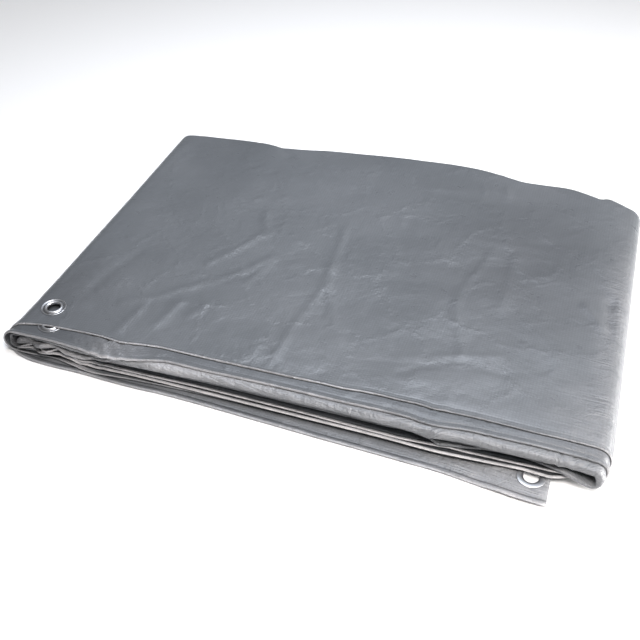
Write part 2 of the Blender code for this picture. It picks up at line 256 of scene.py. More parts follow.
BACK_FOLD = {
    "bottom": ((490, 380), (440, 392), (337, 398), (230, 398), (122, 392), (70, 386), (17, 386)),
    "top": (
        (4, 394.5), (20, 396.0), (40, 397.0), (56, 397.3), (84, 393.8), (104, 388.8), (118, 385.9),
        (134, 387.0), (180, 396.3), (226, 401.5), (280, 403.5), (330, 407.5), (360, 405.8), (376, 402.4),
        (388, 398.8), (402, 396.2), (424, 397.7), (460, 398.4), (480, 392.2), (489, 390.2), (496, 394.8),
        (508, 393.0), (520, 389.1),
    ),
    "middle": ((518, 379), (470, 386), (390, 392), (280, 396), (122, 388), (9, 378)),
}

# eyelets: hem, run, place along the run, distance from the hem's edge, and lift of the cloth round each
EYELETS = {
    "Eyelet_Top": (1, "top", 16.4, 25.5, 0.4),
    "Eyelet_Second": (2, "top", 26.0, 20.0, 0.3),
    "Eyelet_Flap": (1, "bottom", 475.0, 25.0, -1.5),
}
LIFT_FLAT_R = 30.0
LIFT_END_R = 44.0
EYELET_CUT_R = 8.6
EYELET_CUT_DEPTH = 1.0
TOP_SHAFT_DEPTH = 14.0

# profile of an eyelet as (r, z): rim, groove, domed barrel, hole and the washer below
EYELET_PROFILE = (
    (11.4, 0.56), (11.7, 0.72), (11.7, 1.06), (11.4, 1.26), (11.05, 1.14), (10.8, 0.74), (10.6, 0.60),
    (9.2, 0.57), (8.8, 0.70), (8.6, 1.20), (8.2, 1.72), (7.6, 1.98), (7.0, 1.88), (6.55, 1.45),
    (6.3, 0.95), (6.3, -0.80),
    (6.5, -1.10), (7.0, -1.24), (8.6, -1.22), (10.6, -1.20), (11.3, -1.10), (11.5, -0.90), (11.2, -0.70),
    (7.2, -0.62), (6.95, -0.40), (6.95, 0.30), (7.2, 0.54),
)
EYELET_SIDES = 96
GROOVE_R = 9.7
UNDER_GROOVE_R = 7.6
GROOVE_R_HALF = 0.95

# creases pressed in the top, each as its points, half width and height: a ridge, or a trough below 0
CREASES = (
    (((154, 250), (159, 231), (171, 210)), 3.0, 1.5),
    (((129, 151), (152, 185), (163, 208)), 3.4, 1.2),
    (((160, 132), (178, 131), (187, 162), (191, 177)), 3.0, 1.1),
    (((75, 71), (106, 88), (142, 123), (173, 154), (186, 177)), 3.4, 1.5),
    (((92, 32), (98, 65)), 3.8, 1.2),
    (((122, 48), (131, 89)), 3.8, 1.1),
    (((146, 68), (157, 91)), 3.8, 0.9),
    (((35, 71), (41, 108), (52, 149)), 6.0, -1.1),
    (((242, 249), (247, 200), (251, 148), (243, 81), (243, 45)), 3.4, 1.1),
    (((250, 183), (259, 143), (276, 103), (292, 78)), 3.0, 0.9),
    (((395, 251), (388, 220), (377, 182), (383, 138), (396, 100), (397, 89)), 3.6, 0.9),
    (((343, 74), (394, 91), (429, 100)), 3.0, 1.0),
    (((351, 57), (392, 85), (440, 81)), 3.0, -1.0),
    (((419, 251), (419, 202), (418, 162)), 5.2, 0.8),
    (((397, 15), (397, 46)), 3.8, 0.6),
    (((451, 79), (441, 55)), 3.8, 0.5),
    (((476, 98), (477, 121)), 3.4, 0.8),
    (((492, 198), (511, 170)), 3.0, 2.4),
    (((515, 213), (519, 166)), 4.5, -3.2),
    (((46, 197), (73, 198)), 1.8, 0.7),
    (((-4, 214), (20, 216), (48, 220)), 3.0, 0.8),
    (((95, 385), (119, 382), (134, 396)), 3.4, 0.9),
    (((381, 400), (400, 392), (416, 391)), 3.4, 0.9),
    (((358, 266), (400, 268), (470, 275)), 3.4, 0.6),
    (((313, 344), (336, 347)), 3.4, 0.6),
    (((389, 372), (394, 356)), 3.4, 1.2),
    (((293, 286), (296, 274)), 3.0, 0.6),
    (((190, 266), (205, 279)), 3.0, 0.6),
    (((106, 400), (120, 385), (138, 365)), 5.2, -1.5),
)

# soft patches of the outer ply, of painted shade where the top is darker and painted light where it is
# lighter: x, y, half width, half depth and share
PAINTED_SHADE_PATCHES = ((433, 250, 105.0, 125.0, 0.34), (9, 55, 50.0, 75.0, 0.3))
PAINTED_LIGHT_PATCHES = ((517, 49, 38.0, 45.0, 0.14), (524, 190, 16.0, 150.0, 0.22))

# long soft swells of the top: wavelength, direction in degrees, phase, height
SWELLS = (
    (190.0, 20.0, 0.4, 0.8),
    (130.0, 75.0, 1.9, 0.7),
    (84.0, 130.0, 4.2, 0.36),
    (61.0, 48.0, 2.7, 0.26),
    (37.0, 102.0, 5.1, 0.14),
)

# the cloth's patterns. The real tapes lie about 1.8 mm apart, under two pixels of the picture, so the weave
# is drawn coarser. The others are counts to a metre: grain 18 mm, tint 110 mm, dents 42 mm, cells of pressed
# lines 67 mm, crumples 8 mm, and streaks 70 mm long and 2.4 mm wide.
WEAVE_PITCH = 2.6
GRAIN_SCALE = 55.0
TINT_SCALE = 9.0
DENT_SCALE = 24.0
CELL_SCALE = 15.0
CRUMPLE_SCALE = 130.0
STREAK_SCALE = (14.0, 420.0, 1.0)

# handling haze of the plate, 7 mm across, as a count to a metre
HAZE_SCALE = 150.0

# studio: floor, light and the photograph's camera, in metres and degrees
FLOOR_HALF = 6.0
SURROUND_STRENGTH = 0.22
KEY_STRENGTH = 0.6
KEY_SPREAD = 60.0
CAMERA_AT = (0.210987, -0.685841, 0.558184)
CAMERA_AZIMUTH = -19.1197
CAMERA_FALL = 39.8849
CAMERA_ROLL = -0.8025
LENS = 50.69
SENSOR = 36.0


def ease(value, start, end):
    """0 before start, 1 after end, and a smooth step between them."""
    part = np.clip((value - start) / (end - start), 0.0, 1.0)
    return part * part * (3 - 2 * part)


def bell(away, width):
    """1 at the middle and fading on both sides: e^-(away/width)^2."""
    return np.exp(-((away / width) ** 2))


def path_length(run, x):
    """Distance along the path of a place x on the named run."""
    if run == "bottom":
        return BOTTOM_END_X - x
    if run == "top":
        return TOP_START + x - LEFT_WRAP_X
    return MIDDLE_START + RIGHT_WRAP_X - x


def edge(table, along):
    """Depth of a long edge or fold: a smooth curve through its table, cubic between neighbours."""
    at = np.array([path_length(run, x) for run in table for x, _ in table[run]])
    depth = np.array([y for run in table for _, y in table[run]], dtype=float)
    slope = np.gradient(depth, at)
    i = np.clip(np.searchsorted(at, along) - 1, 0, len(at) - 2)
    span = at[i + 1] - at[i]
    t = np.clip((along - at[i]) / span, 0.0, 1.0)
    start = (2 * t**3 - 3 * t**2 + 1) * depth[i] + (t**3 - 2 * t**2 + t) * span * slope[i]
    end = (3 * t**2 - 2 * t**3) * depth[i + 1] + (t**3 - t**2) * span * slope[i + 1]
    return start + end


def top_z(x):
    """Height of the top run's middle, which rises from the left wrap and falls to the right one."""
    rise = (TOP_Z - TOP_LEFT_Z) * ease(x, *TOP_RISE_X)
    fall = (TOP_Z - TOP_RIGHT_Z) * ease(x, *TOP_FALL_X)
    return TOP_LEFT_Z + rise - fall


def middle_z(x):
    """Height of the middle run, which comes down to the floor past the end of the bottom run."""
    return MIDDLE_Z - (MIDDLE_Z - FOOT_Z) * ease(x, FOOT_START_X, RIGHT_WRAP_X)


def path(along):
    """Point x, z of the section's middle: straight runs joined by half circles."""
    left_turn = (along - LEFT_WRAP_START) / LEFT_WRAP_R
    right_turn = (along - RIGHT_WRAP_START) / RIGHT_WRAP_R
    on_top = LEFT_WRAP_X + along - TOP_START
    on_middle = RIGHT_WRAP_X - along + MIDDLE_START
    where = [along < LEFT_WRAP_START, along < TOP_START, along < RIGHT_WRAP_START, along < MIDDLE_START]
    x_of = [
        BOTTOM_END_X - along,
        LEFT_WRAP_X - LEFT_WRAP_R * np.sin(left_turn),
        on_top,
        RIGHT_WRAP_X + RIGHT_WRAP_R * np.sin(right_turn),
    ]
    z_of = [
        BOTTOM_Z + 0 * along,
        BOTTOM_Z + LEFT_WRAP_R * (1 - np.cos(left_turn)),
        top_z(on_top),
        TOP_RIGHT_Z - RIGHT_WRAP_R * (1 - np.cos(right_turn)),
    ]
    return np.select(where, x_of, on_middle), np.select(where, z_of, middle_z(on_middle))


def inner_fold(along):
    """Depth of the inner back fold, which takes up what the other folds leave of the sheet's width."""
    laid = edge(HEM_ONE, along) + edge(HEM_TWO, along) + 2 * edge(FRONT_FOLD, along)
    return (SHEET_WIDTH + laid - 2 * edge(BACK_FOLD, along)) / 2


def roll_share(along):
    """How far the front fold is puffed into a roll: fully in the top run and half round the right wrap."""
    start = ease(along, path_length("top", ROLL_LEFT_X[0]), path_length("top", ROLL_LEFT_X[1]))
    return start * (1 - ease(along, *ROLL_OUT))


def ply_level(number, along, y):
    """Offset of ply 0 to 3 from the path: outer, second, third and inner ply.

    The plies are a pitch apart. The inner one sinks into the front roll and its pinch, and the inner two
    hang slack in the left wrap. Wrinkles are sines that fade with distance, the loose end fans out and
    waves, and the cloth is lifted flat round each eyelet.
    """
    level = (MIDDLE_PLY - number) * PLY_PITCH + 0 * y
    if number == 3:
        near_front = 1 - ease(y - edge(FRONT_FOLD, along), 0.0, FRONT_ROLL_REACH)
        pinch = PINCH_DROP * bell(along - path_length("top", PINCH_X), PINCH_WIDTH)
        level = level - (FRONT_ROLL * roll_share(along) + pinch) * near_front
    if number > 1:
        level = level - LEFT_SLACK * np.sin(math.pi * ease(along, LEFT_WRAP_START, TOP_START))
    for run, plies, x, reach, wavelength, slant, height in WRINKLES:
        if number in plies:
            off = along - path_length(run, x)
            ripple = height * np.sin(2 * math.pi * (off + slant * y) / wavelength) * bell(off, reach)
            if run == "bottom":
                ripple = -(ripple**2) / height
            level = level + ripple * (1 - ease(y, *WRINKLE_Y))
    loose = ease(along, PATH_END - LOOSE_END, PATH_END)
    phase = 2 * math.pi * along / LOOSE_WAVE_LENGTH + LOOSE_WAVE_LAG * number + y / LOOSE_WAVE_SLANT
    level = level + loose * (LOOSE_FAN * (MIDDLE_PLY - number) + LOOSE_WAVE * np.sin(phase))
    for hem, run, x, from_edge, lift in EYELETS.values():
        if number == hem - 1:
            here = path_length(run, x)
            table = (HEM_ONE, HEM_TWO)[number]
            away = np.hypot(along - here, y - edge(table, here) - from_edge)
            level = level + lift * (1 - ease(away, LIFT_FLAT_R, LIFT_END_R))
    return level


def fold(along, turn, number, y, depth):
    """Half round from one ply to the next: turn runs from 0 to 1, and depth is signed along y.

    The front fold, from ply 3 to ply 2, has soft ridges where it is puffed into a roll.
    """
    first = ply_level(number[0], along, y)
    last = ply_level(number[1], along, y)
    angle = math.pi * turn
    if number == (3, 2):
        ridge = np.sin(ROLL_RIDGE_TURNS * angle + along / ROLL_TWIST)
        depth = depth * (1 + ROLL_RIDGES * roll_share(along) * ridge)
    return y + depth * np.sin(angle), (first + last) / 2 + (first - last) / 2 * np.cos(angle)


def edge_drop(part, along):
    """How far a hem's face side lies low.

    Its edge rounds down by a quarter of an ellipse, and at the right a groove follows it, e^-(d/half)^2.
    """
    rounded = EDGE_DROP * (1 - np.sqrt(1 - (1 - np.clip(part / EDGE_ROUND, 0.0, 1.0)) ** 2))
    grooved = ease(along, path_length("top", GROOVE_X[0]), path_length("top", GROOVE_X[1]))
    return rounded + grooved * GROOVE_DEPTH * bell(part - GROOVE_AT, GROOVE_HALF)


def section(along, leg, part):
    """Depth y and offset of a point of the folded sheet, part of the way down one of its nine legs.

    Hems and plies run straight in y from fold to fold, and each fold is half round.
    """
    one = edge(HEM_ONE, along)
    two = edge(HEM_TWO, along)
    front_depth = FRONT_FOLD_DEPTH + (FRONT_ROLL_DEPTH - FRONT_FOLD_DEPTH) * roll_share(along)
    front = edge(FRONT_FOLD, along) + front_depth
    back = edge(BACK_FOLD, along) - BACK_FOLD_DEPTH
    inner = np.minimum(inner_fold(along), back - INNER_FOLD_DEPTH) - INNER_FOLD_DEPTH
    if leg == "hem one":
        return one + part, ply_level(0, along, one + part) - edge_drop(part, along)
    if leg == "outer ply":
        y = one + HEM_WIDTH + (back - one - HEM_WIDTH) * part
        return y, ply_level(0, along, y)
    if leg == "back fold":
        return fold(along, part, (0, 3), back, BACK_FOLD_DEPTH)
    if leg == "inner ply":
        y = back + (front - back) * part
        return y, ply_level(3, along, y)
    if leg == "front fold":
        return fold(along, part, (3, 2), front, -front_depth)
    if leg == "third ply":
        y = front + (inner - front) * part
        return y, ply_level(2, along, y)
    if leg == "inner fold":
        return fold(along, part, (2, 1), inner, INNER_FOLD_DEPTH)
    if leg == "second ply":
        y = inner + (two + HEM_WIDTH - inner) * part
        return y, ply_level(1, along, y)
    return two + part, ply_level(1, along, two + part) - edge_drop(part, along)


def crease(x, y, points, width, height):
    """A soft ridge or trough along a line of points: height e^-(d/width)^2 at the distance d from it."""
    nearest = np.full(np.broadcast(x, y).shape, np.inf)
    for (ax, ay), (bx, by) in zip(points[:-1], points[1:]):
        span = (bx - ax) ** 2 + (by - ay) ** 2
        t = np.clip(((x - ax) * (bx - ax) + (y - ay) * (by - ay)) / span, 0.0, 1.0)
        nearest = np.minimum(nearest, np.hypot(x - ax - t * (bx - ax), y - ay - t * (by - ay)))
    return height * bell(nearest, width)


def swells(x, y):
    """Slow waves over the top, a sum of sines."""
    total = 0 * x + 0 * y
    for wavelength, degrees, phase, height in SWELLS:
        across = x * math.cos(math.radians(degrees)) + y * math.sin(math.radians(degrees))
        total = total + height * np.sin(2 * math.pi * across / wavelength + phase)
    return total


def top_relief(along, x, y, deep):
    """Height of the creases and swells of the top run, fading at its wraps.

    deep is 0 on the outer ply and 1 on the plies beneath it, which lie lower and flat.
    """
    share = ease(along, *RELIEF_STARTS) * (1 - ease(along, *RELIEF_ENDS))
    relief = swells(x, y) * ease(y, *SWELL_Y)
    for points, width, height in CREASES:
        relief = relief + crease(x, y, points, width, height)
    return share * (relief * (1 - deep) - INNER_SINK * ease(y, *SINK_Y) * deep)


def settle(along, x, y, z, deep):
    """The pack's own sag, puff and droop, worked on a point of the straight sweep.

    The middle run sags in front of the flap's fold by a smooth step. Heights grow by the puff, half a sine
    wave across, and shrink by the drop at the right, and the left side leans by its table.
    """
    in_middle = ease(along, RIGHT_WRAP_START, MIDDLE_START)
    free = (1 - ease(x, *SAG_RIGHT_X)) * ease(x, *SAG_LEFT_X)
    flap_x = path_length("bottom", np.clip(x, 0, BOTTOM_END_X))
    bare = edge(FRONT_FOLD, flap_x) - SAG_MARGIN
    z = z - in_middle * MIDDLE_SAG * free * (1 - ease(y, bare - SAG_REACH, bare))
    puff = BACK_PUFF * ease(y, *PUFF_Y) * np.sin(math.pi * np.clip(x / RIGHT_WRAP_X, 0, 1))
    drop = RIGHT_DROP * ease(x, *DROP_X) * ease(y, *DROP_Y)
    z = FACE_OFFSET + (z - FACE_OFFSET) * (1 + puff - drop)
    lean = np.interp(y, *zip(*LEFT_LEAN)) * (1 - ease(x, *LEAN_X))
    return x + lean, y, z + top_relief(along, x, y, deep)


def place(along, leg, part):
    """Point of the sheet's middle surface, for a distance along the path and a part of a leg.

    It is the path's point moved by the section's offset, square to the path.
    """
    y, offset = section(along, leg, part)
    ahead_x, ahead_z = path(along + PATH_STEP)
    behind_x, behind_z = path(along - PATH_STEP)
    run = np.hypot(ahead_x - behind_x, ahead_z - behind_z)
    x, z = path(along)
    x = x - offset * (ahead_z - behind_z) / run
    z = z + offset * (ahead_x - behind_x) / run
    deep = {"hem one": 0.0, "outer ply": 0.0, "back fold": part}.get(leg, 1.0)
    return np.stack(settle(along, x, y, z, deep), axis=-1)


def sheet_columns():
    """Distances along the path, in even stretches that are finer where the sheet shows most."""
    stretches = (
        (FLAP_SHOWS, 27),
        (LEFT_WRAP_START - LEFT_SHOWS, 13),
        (LEFT_WRAP_START, 27),
        (TOP_START, 13),
        (RIGHT_WRAP_START, 156),
        (MIDDLE_START, 15),
        (MIDDLE_START + RIGHT_SHOWS, 10),
        (PATH_END - LEFT_SHOWS, 40),
        (PATH_END, 27),
    )
    columns = [np.zeros(1)]
    for end, count in stretches:
        columns.append(np.linspace(columns[-1][-1], end, count)[1:])
    return np.concatenate(columns)


def cloth_rows(parts):
    """Rows of single cloth at the given parts of a leg."""
    return tuple((part, CLOTH_T) for part in parts)


def sheet_legs():
    """Rows across the sheet, leg by leg, each row with the thickness of the cloth there."""
    return (
        ("hem one", HEM_ROWS),
        ("outer ply", cloth_rows(np.linspace(0, 1, 73))),
        ("back fold", cloth_rows(np.linspace(0, 1, 12)[1:-1])),
        ("inner ply", cloth_rows((0, 0.2, 0.45, 0.7, 0.87, 0.91, 0.94, 0.97, 1))),
        ("front fold", cloth_rows(np.linspace(0, 1, 14)[1:-1])),
        ("third ply", cloth_rows((0, 0.03, 0.1, 0.4, 0.8, 1))),
        ("inner fold", cloth_rows((0.2, 0.5, 0.8))),
        ("second ply", cloth_rows((0, 0.2, 0.6, 0.9, 0.97, 1))),
        ("hem two", HEM_ROWS[::-1]),
    )


def patches(table, along, y):
    """Sum of soft patches of the top run, each its share times e^-(dx/half width)^2 e^-(dy/half depth)^2."""
    x = along - TOP_START + LEFT_WRAP_X
    total = 0 * x
    for at_x, at_y, wide, deep, share in table:
        total = total + share * bell(x - at_x, wide) * bell(y - at_y, deep)
    return total


def leg_painted_light(leg, part, along):
    """How much light is painted on: on the hems' edges, on the flap and on the lengthwise folds.

    The edge's share fades inward as e^-(d/reach)^2, the folds' shares fade along them by smooth steps and
    bells, and the outer ply has its soft patches of painted light.
    """
    low_left = ease(along, *(path_length("middle", x) for x in MIDDLE_FOLD_HIGHLIGHT_X[::-1]))
    roll_left = bell(along - path_length("top", ROLL_HIGHLIGHT_X), ROLL_HIGHLIGHT_REACH)
    folded = FOLD_HIGHLIGHT + MIDDLE_FOLD_HIGHLIGHT * low_left + ROLL_HIGHLIGHT * roll_left
    if leg in ("front fold", "inner fold"):
        return folded + 0 * part
    if leg == "inner ply":
        return folded * ease(part, *INNER_PLY_HIGHLIGHT)
    if leg == "third ply":
        return folded * (1 - ease(part, *THIRD_PLY_HIGHLIGHT))
    if leg in ("back fold", "second ply"):
        return 0 * along
    light_patches = patches(PAINTED_LIGHT_PATCHES, along, section(along, leg, part)[0])
    if leg == "outer ply":
        return light_patches
    fades = ease(along, *(path_length("top", x) for x in EDGE_HIGHLIGHT_FADES_X))
    on_flap = 1 - ease(along, LEFT_WRAP_START, TOP_START)
    in_middle = ease(along, RIGHT_WRAP_START, MIDDLE_START)
    share = (1 - EDGE_HIGHLIGHT_FADE * fades) * (1 - on_flap) * (1 - in_middle)
    share = share + FLAP_EDGE_SHARE * on_flap + MIDDLE_EDGE_SHARE * in_middle
    reach = EDGE_HIGHLIGHT_REACH + (LOW_EDGE_HIGHLIGHT_REACH - EDGE_HIGHLIGHT_REACH) * (on_flap + in_middle)
    rim = EDGE_HIGHLIGHT * share * bell(part, reach)
    if leg == "hem one":
        flap_end = 1 - ease(along, *(path_length("bottom", x) for x in FLAP_END_PAINTED_LIGHT_X[::-1]))
        return rim + FLAP_END_PAINTED_LIGHT * flap_end + FLAP_PAINTED_LIGHT * on_flap + light_patches
    top_band = FOLD_HIGHLIGHT * bell(along - path_length("top", TOP_BAND_X), TOP_BAND_REACH)
    low_band = LOW_BAND_HIGHLIGHT * bell(along - path_length("bottom", LOW_BAND_X), LOW_BAND_REACH)
    return rim + top_band + low_band + light_patches


def leg_painted_shade(leg, part, along):
    """How much shade is painted on: in the flap's seam, below the hems and in the left end's folds.

    The seam's share fades from its groove as e^-(d/half)^2, and the others are smooth steps inward from the
    hem's edge and along the path.
    """
    at_end = ease(along, PATH_END - LOOSE_END, PATH_END)
    at_wrap = ease(along, LEFT_WRAP_START - WRAP_SHADE_FADE, LEFT_WRAP_START)
    at_wrap = at_wrap * (1 - ease(along, TOP_START, TOP_START + WRAP_SHADE_FADE))
    if leg in ("inner ply", "third ply", "second ply", "front fold"):
        return END_PAINTED_SHADE * np.maximum(at_end, at_wrap) + 0 * part
    shade_patches = patches(PAINTED_SHADE_PATCHES, along, section(along, leg, part)[0])
    if leg not in ("hem one", "hem two"):
        return shade_patches
    on_flap = 1 - ease(along, LEFT_WRAP_START, TOP_START)
    seam = SEAM_PAINTED_SHADE * on_flap * bell(part - GROOVE_AT, GROOVE_HALF)
    if leg == "hem one":
        strip = ease(part, *BETWEEN_STARTS) * (1 - ease(part, *BETWEEN_ENDS))
        below = BETWEEN_PAINTED_SHADE * ease(along, *MIDDLE_SHADE_STARTS) * strip
    else:
        below = BELOW_EDGE_PAINTED_SHADE * ease(part, *BELOW_EDGE_STARTS) * (1 - on_flap)
    return seam + below + shade_patches + HEM_END_PAINTED_SHADE * at_end


def grid_normals(points):
    """Unit normal at each point of a grid: the cross product of its two directions."""
    across = np.gradient(points, axis=0)
    along = np.gradient(points, axis=1)
    normal = np.cross(along, across)
    return normal / np.linalg.norm(normal, axis=-1, keepdims=True)


def eyelet_place(hem, run, x, from_edge):
    """Centre and unit axis of an eyelet, square to the cloth at its place."""
    leg = ("hem one", "hem two")[hem - 1]
    here = path_length(run, x)
    reach = LIFT_FLAT_R / 2
    centre = place(here, leg, from_edge)
    along = place(here + reach, leg, from_edge) - place(here - reach, leg, from_edge)
    across = place(here, leg, from_edge + reach) - place(here, leg, from_edge - reach)
    axis = np.cross(along, across)
    return centre, axis / np.linalg.norm(axis)


def put(name, data):
    """An object for a mesh, light or camera, linked to the scene."""
    made = bpy.data.objects.new(name, data)
    bpy.context.scene.collection.objects.link(made)
    return made


def smooth_mesh(name, points, faces, material):
    """A smooth mesh of points in the pack's own frame, turned into metres, with its material."""
    mesh = bpy.data.meshes.new(name)
    mesh.from_pydata(((points.reshape(-1, 3) + FRAME_SHIFT) * MM).tolist(), [], faces.tolist())
    mesh.polygons.foreach_set("use_smooth", np.ones(len(faces), dtype=bool))
    mesh.materials.append(material)
    return mesh


def write_values(mesh, name, values):
    """One value at each point of a mesh, for its material to read by this name."""
    made = mesh.attributes.new(name, "FLOAT", "POINT")
    made.data.foreach_set("value", values.ravel().astype(np.float32))


def tarp_sheet(material):
    """The whole sheet with its hems, as one thin closed solid.

    A grid over distance along the path and distance across the sheet: each point is the path's point plus
    the section's depth and offset there. The faces at each eyelet are left out, down through the plies under
    the top one, and the sheet is thickened inward from its face side.
    """
    columns = sheet_columns()
    rows = []
    thickness = []
    painted_light_rows = []
    painted_shade_rows = []
    for leg, steps in sheet_legs():
        part = np.array([s for s, _ in steps])[:, None]
        rows.append(place(columns[None, :] + 0 * part, leg, part))
        thickness += [t for _, t in steps]
        painted_light_rows.append(leg_painted_light(leg, part, columns[None, :] + 0 * part))
        painted_shade_rows.append(leg_painted_shade(leg, part, columns[None, :] + 0 * part))
    middle = np.concatenate(rows)
    points = middle + FACE_OFFSET * grid_normals(middle)

    down, wide = middle.shape[:2]
    index = np.arange(down * wide).reshape(down, wide)
    quads = np.stack([index[:-1, :-1], index[:-1, 1:], index[1:, 1:], index[1:, :-1]], axis=-1)
    centres = (middle[:-1, :-1] + middle[1:, 1:]) / 2
    keep = np.ones(quads.shape[:2], dtype=bool)
    for hem, run, x, from_edge, _ in EYELETS.values():
        centre, axis = eyelet_place(hem, run, x, from_edge)
        off = centres - centre
        height = off @ axis
        away = np.linalg.norm(off - height[..., None] * axis, axis=-1)
        below = TOP_SHAFT_DEPTH if run == "top" and hem == 1 else EYELET_CUT_DEPTH
        keep &= (away > EYELET_CUT_R) | (height > EYELET_CUT_DEPTH) | (height < -below)
    faces = quads[keep]

    mesh = smooth_mesh("Tarp_Sheet", points, faces, material)
    span = np.linalg.norm(np.diff(middle, axis=0), axis=-1)
    across = np.concatenate([np.zeros((1, wide)), np.cumsum(span, axis=0)])
    flat = np.stack([np.broadcast_to(columns, (down, wide)), across], axis=-1).reshape(-1, 2) * MM
    layer = mesh.uv_layers.new(name="Cloth")
    layer.data.foreach_set("uv", flat[faces.ravel()].astype(np.float32).ravel())
    # painted light and painted shade, one value each at every point, which the material mixes into the
    # colour
    write_values(mesh, "Painted_Light", np.concatenate(painted_light_rows))
    write_values(mesh, "Painted_Shade", np.concatenate(painted_shade_rows))

    sheet = put("Tarp_Sheet", mesh)
    group = sheet.vertex_groups.new(name="Thickness")
    for value in sorted(set(thickness)):
        chosen = index[np.array(thickness) == value].ravel().tolist()
        group.add(chosen, value / BEAD_T, "REPLACE")
    thick = sheet.modifiers.new("Cloth", "SOLIDIFY")
    thick.thickness = BEAD_T * MM
    thick.offset = -1.0
    thick.vertex_group = "Thickness"
    return sheet


def eyelet_ring(name, material):
    """An eyelet turned about its axis: point (r cos a, r sin a, z) for a closed profile of r and z.

    Its painted shade value is 1 in the grooves of its face and washer and fades as e^-(d/half)^2.
    """
    hem, run, x, from_edge, _ = EYELETS[name]
    centre, axis = eyelet_place(hem, run, x, from_edge)
    r, z = np.array(EYELET_PROFILE).T
    turn = np.linspace(0, 2 * math.pi, EYELET_SIDES, endpoint=False)[:, None]
    ring = np.stack([r * np.cos(turn), r * np.sin(turn), z + 0 * turn], axis=-1)
    to_axis = np.array(Vector(axis).to_track_quat("Z", "Y").to_matrix())
    points = ring @ to_axis.T + centre
    index = np.arange(points.shape[0] * points.shape[1]).reshape(points.shape[:2])
    after = np.roll(index, -1, axis=0)
    corners = [index, np.roll(index, -1, axis=1), np.roll(after, -1, axis=1), after]
    faces = np.stack(corners, axis=-1).reshape(-1, 4)
    mesh = smooth_mesh(name, points, faces, material)
    groove_shade = bell(r - np.where(z > 0, GROOVE_R, UNDER_GROOVE_R), GROOVE_R_HALF)
    write_values(mesh, "Groove_Shade", np.tile(groove_shade, len(turn)))
    return put(name + "_Ring", mesh)


def linear(colour):
    """Linear RGBA of an sRGB colour such as #7a8087."""
    values = [int(colour[i : i + 2], 16) / 255 for i in (1, 3, 5)]
    return (*[v / 12.92 if v <= 0.04045 else ((v + 0.055) / 1.055) ** 2.4 for v in values], 1.0)


def add(tree, kind, inputs=None, **settings):
    """A node with its settings, and its inputs either linked from a socket or set to a value."""
    made = tree.nodes.new(kind)
    for name, value in settings.items():
        setattr(made, name, value)
    for name, value in (inputs or {}).items():
        if isinstance(value, bpy.types.NodeSocket):
            tree.links.new(value, made.inputs[name])
        else:
            made.inputs[name].default_value = value
    return made


def new_material(name):
    """A material with its node tree and its shader."""
    made = bpy.data.materials.new(name)
    made.use_nodes = True
    return made, made.node_tree, made.node_tree.nodes["Principled BSDF"]


